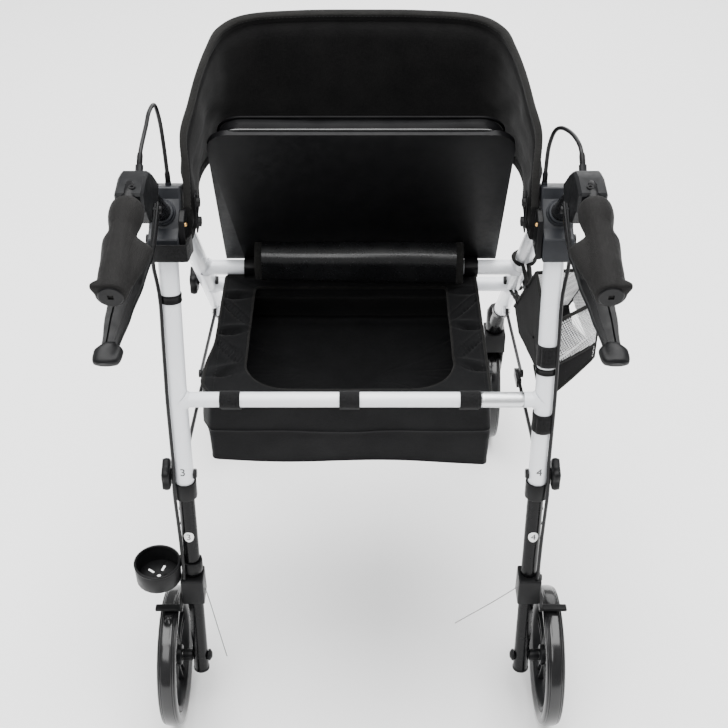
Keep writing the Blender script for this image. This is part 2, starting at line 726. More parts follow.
def makeGrip(side, tag):
    grip = handleSet
    hidden, socket, corner, end = handlePoints(side)
    axis = (end - corner).normalized()
    inward = Vector((-side, 0, 0))
    inward = (inward - inward.project(axis)).normalized()
    up = (upward - upward.project(axis) - upward.project(inward)).normalized()
    rings = []
    for along, radius, flat in smoothPath([Vector((*spot, 0)) for spot in grip["profile"]], 0.0022):
        fade = max(0, 1 - max(0, along - grip["wingPeak"]) / (grip["wingTo"] - grip["wingPeak"])) ** 1.15
        wing = grip["wing"] * smoothStep(along, grip["wingFrom"], grip["wingPeak"]) * fade
        lip = grip["lip"] * smoothStep(along, *grip["lipRise"])
        nub = grip["nub"] * smoothStep(along, *grip["nubRise"]) * (1 - smoothStep(along, *grip["nubFall"]))
        ring = []
        for angle in turns(64):
            turn = cos(angle + grip["wingTurn"])
            out = radius + wing * max(0, turn) ** 13 + lip * max(0, -cos(angle + grip["lipTurn"])) ** 22
            out += nub * max(0, -turn) ** 12
            if grip["fluted"][0] < along < grip["fluted"][1]:
                out -= grip["flute"] * sin(5 * angle) ** 8
            ring.append(corner + axis * along + out * (cos(angle) * inward + sin(angle) * up))
        rings.append(ring)
    keep(smoothed(loft(f"grip_{tag}_rubber", rings, "grip"), 55), "main_frame", "grip_" + tag)
    last = grip["profile"][-1][0]
    cap = turned("capDisc_" + tag, grip["cap"], corner + axis * last, axis, "black", 40)
    hole = [(inward * a + up * b) * grip["capHole"] for a, b in ((-1, -1), (1, -1), (1, 1), (-1, 1))]
    keep(cutOut(cap, [[corner + axis * (last + depth) + spot for spot in hole]
                      for depth in grip["capDepths"]]), "main_frame")


leverSet = {
    "pivot": Vector((-0.01, 0.873)), "tip": Vector((-0.19, 0.806)), "x": 0.246, "tipX": 0.262,
    "shiftFrom": 0.065, "outer": ((-0.008, 0.0222), (0.03, 0.0222), (0.1, 0.018), (0.14, 0.0135),
                                  (0.1801, 0.009)),
    "inner": ((-0.03, 0.0162), (0.058, 0.0162), (0.085, 0.011), (0.105, 0.007)), "half": 0.00475,
    "step": 0.0026, "armStart": -0.008, "armEnd": 0.104, "channelStart": 0.098, "chamfer": 0.001,
    "ridge": 0.0012, "pinX": 0.0221, "pin": 0.0042, "tipBack": 0.0165, "tipLong": 0.0265,
    "tipWide": (0.0092, 0.0062), "tipHigh": 0.0068, "tipRound": 2.6, "tipSquare": 2.8,
}


def superRound(t, power):  # swells from 0 to 1 and back as t goes from 0 to 1
    return (1 - abs(2 * t - 1) ** power) ** (1 / power)


def blended(table, value):
    for (a, first), (b, second) in zip(table, table[1:]):
        if value <= b:
            return first + (second - first) * smoothStep(value, a, b) if value > a else first
    return table[-1][1]


def makeLever(side, tag):
    lever = leverSet
    run = lever["tip"] - lever["pivot"]
    length = run.length
    run.normalize()
    normal = Vector((-run.y, run.x)) if run.x > 0 else Vector((run.y, -run.x))
    half, chamfer = lever["half"], lever["chamfer"]

    def spot(along, across, lift):
        bend = max(0, along - lever["shiftFrom"]) / (length - lever["shiftFrom"])
        return at(side * (lever["x"] + (lever["tipX"] - lever["x"]) * bend + across),
                  lever["pivot"] + run * along + normal * lift)

    def halfSection(outer, ridge):  # the outer wall, its ridge and the step down into the channel
        return ((outer, -half * 0.7), (outer, half * 0.55), (outer - chamfer, half), (ridge, half),
                (ridge - lever["ridge"], half - lever["step"]))

    parts = []
    for hand in (-1, 1):
        rings = []
        for t in shares(28):
            along = lever["armStart"] + (lever["armEnd"] - lever["armStart"]) * t
            outer, inner = blended(lever["outer"], along), blended(lever["inner"], along)
            section = (*halfSection(outer, inner + (outer - inner) * 0.55), (inner, half - lever["step"]),
                       (inner, -half), (outer - chamfer, -half))
            rings.append([spot(along, hand * across, lift) for across, lift in section])
        parts.append(loft("arm", rings, "lever"))
    rings = []
    for t in shares(21):
        along = lever["channelStart"] + (length + lever["armStart"] - lever["channelStart"]) * t
        outer = blended(lever["outer"], along)
        section = halfSection(outer, outer * 0.52)
        ring = [*section, *[(-across, lift) for across, lift in reversed(section)]]
        rings.append([spot(along, *point)
                      for point in ring + [(chamfer - outer, -half), (outer - chamfer, -half)]])
    parts.append(loft("channel", rings, "lever"))
    rings = []
    for t in shares(14):  # the rounded block at the tip
        swell = superRound(t, lever["tipRound"])
        narrow, more = lever["tipWide"]
        width = (narrow + more * smoothStep(t, 0, 0.4)) * (0.55 + 0.45 * swell)
        high = lever["tipHigh"] * (0.5 + 0.5 * swell)
        along = length - lever["tipBack"] + lever["tipLong"] * t
        square = lever["tipSquare"]
        ring = []
        for angle in turns(28):
            corner = (abs(cos(angle)) ** square + abs(sin(angle)) ** square) ** (-1 / square)
            ring.append(spot(along, width * corner * cos(angle), high * corner * sin(angle)))
        rings.append(ring)
    parts.append(loft("tipBlock", rings, "lever"))
    for hand in (-1, 1):
        parts.append(socketScrew("pin", spot(0, hand * lever["pinX"], 0), rightward * hand * side,
                                 lever["pin"]))
    keep(joined("brakeLever_" + tag, parts), "lever_" + tag, "brake_lever_" + tag)


cableSet = {
    "radius": 0.0025, "start": ((0.246, 0.0207, 0.9131), (0.2458, 0.025, 0.917)),
    "left": ((0.2456, 0.04, 0.9235), (0.244, 0.075, 0.9315), (0.244, 0.105, 0.9345), (0.242, 0.134, 0.928),
             (0.24, 0.147, 0.9), (0.238, 0.145, 0.868), (0.2366, 0.1405, 0.84), (0.2365, 0.14, 0.8228)),
    "right": ((0.245, 0.044, 0.9235), (0.2415, 0.078, 0.92), (0.2345, 0.11, 0.911), (0.2295, 0.13, 0.896),
              (0.2262, 0.141, 0.87), (0.2251, 0.1405, 0.842), (0.225, 0.14, 0.8228)),
    "ferrule": ((0.0001, -0.001), (0.0031, -0.001), (0.0034, 0.002), (0.0034, 0.01), (0.0028, 0.013),
                (0.0001, 0.013)),
}


def makeCable(side, tag):
    points = [place(side * x, forward, height) for x, forward, height in (*cableSet["start"], *cableSet[tag])]
    parts = [tube("cover", smoothPath(points, 0.0035), cableSet["radius"], "cable", 20)]
    for spot, axis in ((points[0], points[1] - points[0]), (points[-1], upward)):
        parts.append(turned("ferrule", cableSet["ferrule"], spot, axis, "black", 24))
    keep(joined("cableLoop_" + tag, parts), "main_frame", "cable_loop_" + tag)


def makeScrews(side, tag):
    x, spot, radius = handleSet["housingScrew"]
    top, axis = at(side * x, spot), Vector((0, -0.09, 1))
    keep(socketScrew("housingScrew_" + tag, top, axis, radius), "main_frame")
    keep(dome("screwHead_" + tag, top + upward * 0.0004, axis, *handleSet["screwHead"], "steel"), "main_frame")
    x, spot, radius = handleSet["bracketScrew"]
    keep(socketScrew("bracketScrew_" + tag, at(side * x, spot), rightward * side, radius), "main_frame")


for tag, side in sideSign.items():
    makePost(side, tag)
    makeGrip(side, tag)
    makeLever(side, tag)
    makeCable(side, tag)
    makeScrews(side, tag)
print("handles ready")

# Wheels
wheelSet = {
    "radius": 0.102, "tyreHalf": 0.014, "tyreDepth": 0.019, "rimHalf": 0.0105, "rimWall": 0.0085, "hub": 0.015,
    "pairs": 5, "spread": 0.0065, "spokeHalf": 0.0019, "spokeDepth": 0.009,
    "grooves": (-0.84, -0.64, 0.64, 0.84), "groove": 0.0008, "grooveWide": 0.045, "tread": 0.86,
    "treadSteps": 56, "drop": 0.003, "wallSteps": (0.12, 0.3, 0.5, 0.7, 0.88), "beadHalf": 0.72,
    "rearHub": 0.0115, "frontHub": 0.0122, "bore": 0.0046, "bearing": 0.0085, "seat": 0.0003,
    "axleCap": (0.0052, 0.004), "axleEnd": 0.2885,
}


def mirrored(half):  # a profile's half and its mirror image, in one turn
    return (*half, *((radius, -along) for radius, along in reversed(half)))


def makeTyre(name, centre):
    wheel = wheelSet
    depth, drop = wheel["tyreDepth"], wheel["drop"]
    profile = []
    for step in range(wheel["treadSteps"] + 1):  # across the tread
        t = -1 + 2 * step / wheel["treadSteps"]
        grooves = sum(dent(t, spot, wheel["grooveWide"]) for spot in wheel["grooves"])
        radius = wheel["radius"] - drop * abs(t) ** 3 - wheel["groove"] * grooves
        profile.append((radius, wheel["tyreHalf"] * wheel["tread"] * t))
    wall = [(wheel["radius"] - drop - (depth - drop) * t,
             wheel["tyreHalf"] * (wheel["tread"] + 0.14 * sin(pi * min(1, t * 1.15)) - 0.1 * t * t))
            for t in wheel["wallSteps"]]
    profile += mirrored([*wall, (wheel["radius"] - depth, wheel["tyreHalf"] * wheel["beadHalf"])])
    return turned(name, profile, centre, rightward, "tyre", 96, True)


def makeRim(name, centre, hubHalf):
    wheel = wheelSet
    outer = wheel["radius"] - wheel["tyreDepth"] - wheel["seat"]
    inner = outer - wheel["rimWall"]
    half, hub, bore, bearing = wheel["rimHalf"], wheel["hub"], wheel["bore"], wheel["bearing"]
    ring = mirrored([(inner, half - 0.003), (inner + 0.001, half - 0.001), (inner + 0.003, half),
                     (outer - 0.001, half), (outer, half - 0.001)])
    core = mirrored([(hub, hubHalf - 0.0024), (hub - 0.001, hubHalf - 0.0012), (bearing, hubHalf - 0.0012),
                     (bearing, hubHalf), (bore, hubHalf)])
    parts = [turned("ring", ring, centre, rightward, "rim", 96, True),
             turned("hub", core, centre, rightward, "rim", 48, True)]
    for angle in turns(wheel["pairs"]):
        out = Vector((0, cos(angle), sin(angle)))
        across = Vector((0, -sin(angle), cos(angle)))
        for hand in (-1, 1):
            rings = []
            for t in shares(6):
                wide = wheel["spokeHalf"] * (1.5 - 1.4 * sin(pi * t) * 0.36)
                deep = wheel["spokeDepth"] / 2 * (1.0 - 0.16 * sin(pi * t))
                middle = centre + out * (hub * 0.75 + (inner + 0.001 - hub * 0.75) * t)
                middle += across * hand * wheel["spread"] * (0.85 + 0.3 * t)
                rings.append([middle + across * wide * a + rightward * deep * b for a, b in (
                    (1, 0.7), (0.7, 1), (-0.7, 1), (-1, 0.7), (-1, -0.7), (-0.7, -1), (0.7, -1), (1, -0.7))])
            parts.append(loft("spoke", rings, "rim"))
    washer = [(bore, 0), (0.0082, 0), (0.0082, 0.0004), (bore, 0.0004)]
    for hand in (-1, 1):
        parts.append(turned("bearing", washer, centre + rightward * hand * (hubHalf - 0.0002), rightward * hand,
                            "steel", 36, True))
    return joined(name, parts)


for tag, side in sideSign.items():
    low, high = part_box(f"front_{tag}_tyre")
    rear = at(side * rollator["rearWheelX"], rearAxle)
    for end, centre, hubHalf in (("rear", rear, wheelSet["rearHub"]),
                                 ("front", (low + high) / 2, wheelSet["frontHub"])):
        keep(makeTyre(f"{end}Tyre_{tag}", centre), f"{end}_wheel_{tag}", f"{end}_{tag}_tyre")
        keep(makeRim(f"{end}Rim_{tag}", centre, hubHalf), f"{end}_wheel_{tag}", f"{end}_{tag}_rim")
    end = at(side * wheelSet["axleEnd"], rearAxle)
    keep(dome("axleCap_" + tag, end, rightward * side, *wheelSet["axleCap"], "black"), "rear_foot_" + tag)
print("wheels ready")

# Black lower legs: the rows of adjustment buttons' holes
legSet = {"foot": 0.024, "top": 0.5, "firstHole": 0.275, "holePitch": 0.0254, "holes": 8, "plugLip": 0.0006,
          "hole": ((0.003, 0), (0.003, 0.0007), (0.0024, 0.0009), (0.0022, 0.0002), (0, 0.0002))}


def makeLeg(tag, side):
    ends = [at(side * tubeX, spot)
            for spot in (rearAxle - lowerLean * legSet["foot"], onUpright(legSet["top"]))]
    lip = legRadius + legSet["plugLip"]
    parts = [tube("leg", ends, legRadius, "tube", 36),
             turned("footPlug", ((lip, -0.001), (lip, 0.002), (legRadius - 0.002, 0.0036), (0, 0.0036)),
                    ends[0], ends[0] - ends[1], "black", 36)]
    for index in range(legSet["holes"]):
        spot = onUpright(legSet["firstHole"] + legSet["holePitch"] * index)
        parts.append(turned("hole", legSet["hole"], at(side * (tubeX + legRadius - 0.0004), spot),
                            rightward * side, "tube", 20))
    keep(joined("rearLegTube_" + tag, parts), "rear_foot_" + tag, "rear_leg_" + tag)


# Star knobs: rounded lobes over the moulded core
knobSet = {"lobes": 5, "depth": 0.105, "radius": 0.0226, "thick": 0.0115, "power": 2.6}


def makeKnob(end, spot, tag, side):
    knob = knobSet
    low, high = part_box(f"{end}_knob_{tag}")
    outer = max(abs(low.x), abs(high.x)) + 0.0004
    rings = []
    for t in shares(12):
        swell = knob["radius"] * (0.72 + 0.28 * superRound(t, knob["power"]))
        ring = []
        for angle in turns(72):
            size = swell * (1 - knob["depth"] + knob["depth"] * cos(knob["lobes"] * angle))
            ring.append(at(side * (outer - knob["thick"] * (1 - t)),
                           spot + Vector((cos(angle), sin(angle))) * size))
        rings.append(ring)
    keep(smoothed(loft(f"{end}Knob_{tag}", rings, "black"), 50), f"{end}_knob_body_{tag}")


# Cane cup: the slotted floor and the thick rolled rim
cupSet = {"centre": place(-0.2845, 0.007, 0), "radius": 0.0325, "wall": 0.0026, "floor": 0.265, "rim": 0.2915,
          "lip": 0.0019, "slots": 5, "slotHalf": 0.0019, "slotNear": 0.0066, "slotFar": 0.025}


def makeCup():
    cup = cupSet
    centre, half = cup["centre"], cup["slotHalf"]
    inside = cup["radius"] - cup["wall"]
    base = centre + upward * (cup["floor"] - 0.0012)
    floor = turned("cupFloor", ((0.0028, 0.0), (0.0028, 0.0014), (inside, 0.002), (inside, 0.0)), base, upward,
                   "black", 60, True)
    for angle in turns(cup["slots"]):
        out = Vector((cos(angle), sin(angle), 0))
        across = Vector((-sin(angle), cos(angle), 0)) * half
        outline = [out * cup["slotNear"] - across, out * cup["slotNear"] + across]
        outline += [out * (cup["slotFar"] + half * sin(pi * t)) + across * cos(pi * t) for t in shares(8)]
        cutOut(floor, [[centre + spot + upward * (cup["floor"] + lift) for spot in outline]
                       for lift in (-0.002, 0.006)])
    keep(smoothed(floor, 35), "rear_foot_left")
    circle = ringAround(centre + upward * cup["rim"], rightward, Vector((0, 1, 0)), cup["radius"] - 0.0015, 64)
    keep(tube("cupRim", closed(circle), cup["lip"], "black", 14), "rear_foot_left")


for tag, side in sideSign.items():
    makeLeg(tag, side)
    makeKnob("rear", onUpright(rollator["rearKnob"]), tag, side)
    makeKnob("front", onFrontLeg(rollator["frontKnob"]), tag, side)
makeCup()
print("legs, cup and knobs ready")


# Soft goods
stitchSet = {"length": 0.0034, "gap": 0.002, "radius": 0.00045}


def stitchRow(name, points, outward, body):
    length, gap, radius = stitchSet.values()
    corners, faces = [], []
    travelled = due = 0.0
    for before, after, out in zip(points, points[1:], outward):
        run = (after - before).length
        if run < 0.00001:
            continue
        along = (after - before) / run
        across = along.cross(out).normalized() * radius
        while due < travelled + run:
            centre = before + along * (due - travelled) + out * radius * 0.7
            base = len(corners)
            corners += [centre - along * length / 2, centre + along * length / 2, centre + across,
                        centre - across, centre + out * radius * 0.8, centre - out * radius * 0.8]
            for a, b in ((2, 4), (4, 3), (3, 5), (5, 2)):
                faces += [(base, base + a, base + b), (base + 1, base + b, base + a)]
            due += length + gap
        travelled += run
    return keep(meshObject(name, corners, faces, "thread"), body)


def hem(name, line, radius, body="between", look="tape", sides=12):
    return keep(tube(name, line, radius, look, sides), body)


backSet = {
    "stations": ((0.2125, 0.118, 0.752, 0.8, 0), (0.2118, 0.14, 0.757, 0.838, 0.002),
                 (0.2135, 0.175, 0.77, 0.872, 0.005), (0.2125, 0.215, 0.77, 0.892, -0.001),
                 (0.2085, 0.262, 0.764, 0.91, -0.004), (0.2, 0.31, 0.755, 0.924, -0.005),
                 (0.185, 0.35, 0.748, 0.932, -0.003), (0.15, 0.378, 0.745, 0.936, 0),
                 (0.08, 0.389, 0.745, 0.937, 0)),
    "middle": (0, 0.391, 0.745, 0.937, 0), "armThick": 0.014, "midThick": 0.026, "binding": 0.0065,
    "seam": 0.015, "hem": 0.0058, "ridge": 0.003, "armFold": 0.003, "fold": 0.0022,
    "flatShare": 0.34, "crown": (0.001, 0.034), "edgeBead": (0.26, 0.004, 0.0035), "seamDent": (0.34, 0.002),
    "rounding": 0.003, "middleFrom": (0.012, 0.045), "ridgeLean": (0.8, 0.9), "ridgePitch": 46,
    "ridgeBend": (1.6, 31), "armEnds": (0.33, 0.384),
}


def backSection(row):
    x, forward, low, high, lean, tangentX, tangentY = row
    thick = backSet["armThick"] + (backSet["midThick"] - backSet["armThick"]) * smoothStep(forward, 0.3, 0.39)
    middle, half = place(x, forward, (low + high) / 2), (high - low) / 2
    return middle, Vector((-tangentY, tangentX, 0)), half, thick, lean


def backPoint(row, face, level):  # quilted: a seam's dent, a bound edge and slanting folds on the arms
    centre, outward, tall, thick, lean = backSection(row)
    fromEdge = tall * (1 - abs(level))
    beadHigh, beadAt, beadWide = backSet["edgeBead"]
    dentDeep, dentWide = backSet["seamDent"]
    swell = backSet["flatShare"] + (1 - backSet["flatShare"]) * smoothStep(fromEdge, *backSet["crown"])
    swell += beadHigh * dent(fromEdge, beadAt, beadWide) - dentDeep * dent(fromEdge, backSet["seam"], dentWide)
    rounding = max(0.0, 1 - max(0.0, 1 - fromEdge / backSet["rounding"]) ** 2) ** 0.5
    middle = smoothStep(fromEdge, *backSet["middleFrom"])
    spot = centre + upward * level * tall
    leanZ, leanY = backSet["ridgeLean"]
    bend, bendPitch = backSet["ridgeBend"]
    ridge = sin((spot.z * leanZ + spot.y * leanY) * backSet["ridgePitch"] + bend * sin(spot.z * bendPitch))
    wrinkle = backSet["ridge"] * max(0, ridge) ** 2
    wrinkle += folds(spot.x, spot.y * 0.4, spot.z * 2.2, 0.8, backSet["armFold"])
    wrinkle *= 1 - smoothStep(row[1], *backSet["armEnds"])
    wrinkle += folds(spot.x * 0.5, spot.y, spot.z, 1.4, backSet["fold"])
    return spot + outward * (face * thick / 2 * swell * rounding + lean * level + middle * wrinkle)


def makeBackrest():
    left = [(-half, *rest) for half, *rest in backSet["stations"]]
    fine = fineTable([*left, backSet["middle"], *reversed(backSet["stations"])], 9)
    for row, before, after in zip(fine, fine[:1] + fine, fine[1:] + fine[-1:]):
        row.extend(Vector((after[0] - before[0], after[1] - before[1])).normalized())
    levels = [cos(pi * t) for t in shares(52)]
    around = [(1, level) for level in levels] + [(-1, level) for level in reversed(levels[1:-1])]
    band = loft("backrestBand", [[backPoint(row, face, level) for face, level in around] for row in fine],
                "cloth")
    band.data.materials.append(finishes["tape"][0])
    for face in band.data.polygons:
        row, spot = divmod(face.vertices[0], len(around))
        inward = backSection(fine[row])[2] * (1 - abs(around[spot][1]))
        if len(face.vertices) == 4 and inward < backSet["binding"]:
            face.material_index = 1
    keep(smoothed(band, 70), "main_frame", "backrest")
    for edge, edgeName in ((1, "top"), (-1, "low")):
        for tag in ("seam", "hem"):
            for face, faceName in ((1, "out"), (-1, "in")):
                line = [backPoint(row, face, edge * (1 - backSet[tag] / backSection(row)[2]))
                        for row in fine[1:-1]]
                outs = [backSection(row)[1] * face for row in fine[1:-1]]
                stitchRow(f"{tag}_{edgeName}_{faceName}", line, outs, "main_frame")


def roundedLoop(low, high, rear, front, corners, steps, sideSteps):  # corners: the front and the rear radius
    points = []
    for quarter, (signX, signY) in enumerate(((1, 1), (-1, 1), (-1, -1), (1, -1))):
        corner = corners[signY < 0]
        middleX = high - corner if signX > 0 else low + corner
        middleY = front - corner if signY > 0 else rear + corner
        for t in shares(steps - 1):
            angle = pi / 2 * (quarter + t)
            points.append((middleX + corner * cos(angle), middleY + corner * sin(angle)))
    even = []
    for index, ((x, y), (nextX, nextY)) in enumerate(zip(points, closed(points)[1:])):
        count = sideSteps if index % steps == steps - 1 else 1
        even += [(x + (nextX - x) * step / count, y + (nextY - y) * step / count) for step in range(count)]
    return even


seatSet = {
    "half": 0.19, "low": 0.014, "high": 0.304, "corner": 0.034, "rise": Vector((-0.4384, 0.8988)),
    "out": Vector((0.8988, 0.4384)),
    "profile": ((0.0208, 0.12), (0.0208, 0.006), (0.0216, 0.0018), (0.024, 0), (0.0285, -0.0022),
                (0.035, -0.003), (0.042, -0.0018), (0.047, 0.001), (0.05, 0.005), (0.0522, 0.013),
                (0.0536, 0.024), (0.053, 0.0275), (0.0538, 0.031), (0.0552, 0.05), (0.056, 0.09),
                (0.056, 0.14)),
    # out, inset, radius, finish
    "welts": ((0.0232, 0.0004, 0.0021, "flap"), (0.0478, 0.0018, 0.0019, "vinyl")),
    "panelSeam": (0.0275, 0.0532), "lip": (-0.0093, 0.0202), "voxel": 0.005, "pressure": 4.0,
    "mostPuff": 0.0035, "puffSteps": 20,
}


def seatLoop(inset, out, wave=0.0):
    seat = seatSet
    half = seat["half"] - inset
    corner = max(seat["corner"] - inset, 0.004)
    loop = []
    for x, y in roundedLoop(-half, half, seat["low"] + inset, seat["high"] - inset, (corner, corner), 12, 14):
        spot = rollator["seatBar"] + seat["rise"] * y + seat["out"] * (out + wave * folds(x, y, out, 1.0))
        loop.append(at(x, spot))
    return loop


def puffed(thing):  # the vinyl pushed out by its filling, kept near its cut shape
    modified(thing, "REMESH", mode="VOXEL", voxel_size=seatSet["voxel"])
    start = [vertex.co.copy() for vertex in thing.data.vertices]
    cloth = thing.modifiers.new("filling", "CLOTH")
    cloth.settings.use_pressure = True
    cloth.settings.uniform_pressure_force = seatSet["pressure"]
    cloth.settings.effector_weights.gravity = 0
    cloth.settings.quality = 4
    cloth.point_cache.frame_end = seatSet["puffSteps"]
    for step in range(seatSet["puffSteps"]):
        bpy.context.scene.frame_set(step + 1)
    applied(thing)
    bpy.context.scene.frame_set(1)
    for vertex, before in zip(thing.data.vertices, start):
        move = vertex.co - before
        if move.length > seatSet["mostPuff"]:
            vertex.co = before + move.normalized() * seatSet["mostPuff"]
    modified(thing, "SUBSURF", levels=1, render_levels=1)
    smoothed(thing, 60)


def makeSeat():
    rings = [seatLoop(inset, out, 0.0012 if inset > 0.02 else 0.0004) for out, inset in seatSet["profile"][1:]]
    pad = loft("seatCushion", [seatLoop(seatSet["profile"][0][1], seatSet["profile"][0][0]), *rings], "vinyl")
    puffed(pad)
    keep(pad, "seat", "seat_pad")
    for out, inset, radius, look in seatSet["welts"]:
        hem(f"seatWelt_{int(out * 10000)}", closed(seatLoop(inset, out)), radius, "seat", look, 14)
    loop = seatLoop(*seatSet["panelSeam"])
    stitchRow("seatPanelStitch", closed(loop), [Vector((0, *seatSet["out"]))] * len(loop), "seat")
    edge = closed(seatLoop(*seatSet["lip"]))  # the wrapped vinyl lip that shows along the board's edge
    hem("boardLip", edge, [0.0013 + 0.0002 * noise.noise(point * 90) for point in edge], "seat", "lip")


bagSet = {
    "left": -0.2005, "right": 0.17, "corner": 0.009, "mouthCorner": 0.062, "smooth": 3, "creaseOut": 0.0017,
    "creaseDrop": 0.003, "wave": 0.0016, "sag": 0.0016, "hemWave": 0.003, "hemDrop": 0.007, "hemBelow": 0.47,
    "gusset": (0.45, 0.95), "creaseWide": 0.0045, "creaseBack": (0.55, 0.011, 0.007), "panel": 0.003,
    "bulge": 0.0085, "bulgeUp": (0.481, 0.496), "bulgeIn": (0.012, 0.008), "bulgeFrom": (0.003, 0.024),
    "bulgeTo": (0.055, 0.13),
    "creases": ((0.118, 0.9), (0.165, -0.8), (0.214, 0.7), (0.262, -0.9), (0.305, 0.6)),
    # inset from the outer walls, rear and front forward, rear and front height, mouth share, wrinkles
    "rings": ((0.15, 0.19, 0.25, 0.443, 0.4385, 1.0, 0.0), (0.06, 0.11, 0.33, 0.444, 0.438, 0.8, 0.8),
              (0.012, 0.064, 0.378, 0.45, 0.441, 0.5, 1.4), (0.01, 0.065, 0.372, 0.47, 0.46, 0.5, 1.6),
              (0.016, 0.069, 0.362, 0.5, 0.49, 0.8, 1.6), (0.03, 0.079, 0.346, 0.522, 0.508, 1.0, 1.0),
              (0.0405, 0.0866, 0.3462, 0.5325, 0.52, 1.0, 0.5), (0.042, 0.088, 0.3455, 0.535, 0.523, 1.0, 0.4),
              (0.0405, 0.0868, 0.346, 0.5374, 0.5256, 1.0, 0.5), (0.03, 0.076, 0.3475, 0.539, 0.529, 0.8, 1.6),
              (0.018, 0.066, 0.3492, 0.544, 0.534, 0.45, 2.4),
              (0.006, 0.059, 0.3515, 0.5508, 0.5385, 0.15, 1.4),
              (0.0005, 0.0562, 0.3532, 0.5535, 0.5403, 0.0, 0.2), (0.0, 0.0556, 0.354, 0.551, 0.538, 0.0, 0.3),
              (-0.0015, 0.0545, 0.366, 0.515, 0.506, 0.0, 1.5),
              (-0.002, 0.054, 0.3724, 0.4992, 0.4886, 0.0, 1.6),
              (-0.0022, 0.0527, 0.3738, 0.4956, 0.4847, 0.0, 1.6),
              (-0.0023, 0.0541, 0.3754, 0.4918, 0.4805, 0.0, 1.6),
              (-0.0025, 0.053, 0.38, 0.48, 0.468, 0.0, 1.6), (-0.001, 0.0522, 0.391, 0.454, 0.44, 0.0, 1.0),
              (0.0, 0.052, 0.395, 0.4462, 0.4303, 0.0, 0.2), (0.004, 0.056, 0.39, 0.444, 0.4285, 0.0, 0.2),
              (0.05, 0.1, 0.34, 0.44, 0.4285, 0.4, 0.8), (0.15, 0.19, 0.25, 0.4395, 0.433, 1.0, 0.0)),
    "bindings": (("mouthBinding", 7, 0.0022, "tape"), ("topBinding", 12, 0.002, "tape"),
                 ("baseBinding", 20, 0.0011, "bagCloth")),
    "topSeam": (0.0065, 0.059, 0.3515, 0.5512, 0.5384, 0.15, 1.0),
}


def bagLoop(inset, rear, front, rearHeight, frontHeight, mouth, wrinkle):
    bag = bagSet
    low, high = bag["left"] + inset, bag["right"] - inset
    most = min((high - low) / 2.2, (front - rear) / 2.2)
    corners = (min(bag["corner"], most),
               min(bag["corner"] + (bag["mouthCorner"] - bag["corner"]) * mouth, most))
    centre = Vector(((low + high) / 2, (rear + front) / 2))
    back, behind, backWide = bag["creaseBack"]
    outermost = inset < bag["panel"]
    points = []
    for x, y in roundedLoop(low, high, rear, front, corners, 11, 56):
        share = (y - rear) / (front - rear)
        height = rearHeight + (frontHeight - rearHeight) * share
        away = (Vector((x, y)) - centre).normalized()
        sideways = smoothStep(abs(away.x), *bag["gusset"])
        crease = 0
        for where, slant in bag["creases"]:  # folds that run across the gusset at a slant
            shift = where + (0.012 if x > 0 else 0) + slant * (inset - 0.02)
            crease += dent(y, shift, bag["creaseWide"]) - back * dent(y, shift + behind, backWide)
        push = wrinkle * (bag["creaseOut"] * sideways * crease + folds(x, y, height * 1.5, 1.2, bag["wave"]))
        across = (x - low) / (high - low)
        sag = -wrinkle * (bag["sag"] * (1 - (2 * across - 1) ** 2) + bag["creaseDrop"] * crease * sideways)
        if outermost and height < bag["hemBelow"]:  # the rear panel's hem hangs lower at the right
            sag += (bag["hemWave"] * sin(x * 21 + 0.8) - bag["hemDrop"] * across) * (1 - share)
        bulge = 0
        if outermost:  # the left rear corner pushes out past the rear panel
            reach, fade = bag["bulgeIn"]
            bulge = bag["bulge"] * smoothStep(height, *bag["bulgeUp"]) * smoothStep(low + reach - x, 0, fade)
            bulge *= smoothStep(y - rear, *bag["bulgeFrom"]) * (1 - smoothStep(y - rear, *bag["bulgeTo"]))
        points.append(place(x + away.x * push - bulge, y + away.y * push, height + sag))
    return points


def makeBag():
    loops = [bagLoop(*ring) for ring in fineTable(bagSet["rings"], bagSet["smooth"])]
    keep(smoothed(loft("bagShell", loops, "bagCloth"), 70), "between", "bag")
    for name, ring, radius, look in bagSet["bindings"]:
        hem(name, closed(loops[ring * bagSet["smooth"]]), radius, look=look)
    seam = bagLoop(*bagSet["topSeam"])
    stitchRow("topStitch", closed(seam), [upward] * len(seam), "between")


flapSet = {
    "left": -0.155, "right": 0.149, "thick": 0.0013, "wave": (0.001, 0.0016), "tilt": 0.007, "level": 0.35,
    "tiltFrom": (0.25, 0.9), "tape": 0.0009,
    "profile": ((0.352, 0.545), (0.356, 0.565), (0.3565, 0.584), (0.355, 0.5955), (0.351, 0.5992),
                (0.343, 0.598), (0.335, 0.594), (0.3285, 0.5888), (0.3248, 0.58), (0.3236, 0.569),
                (0.3234, 0.559), (0.325, 0.5505), (0.33, 0.5462), (0.336, 0.546)),
}


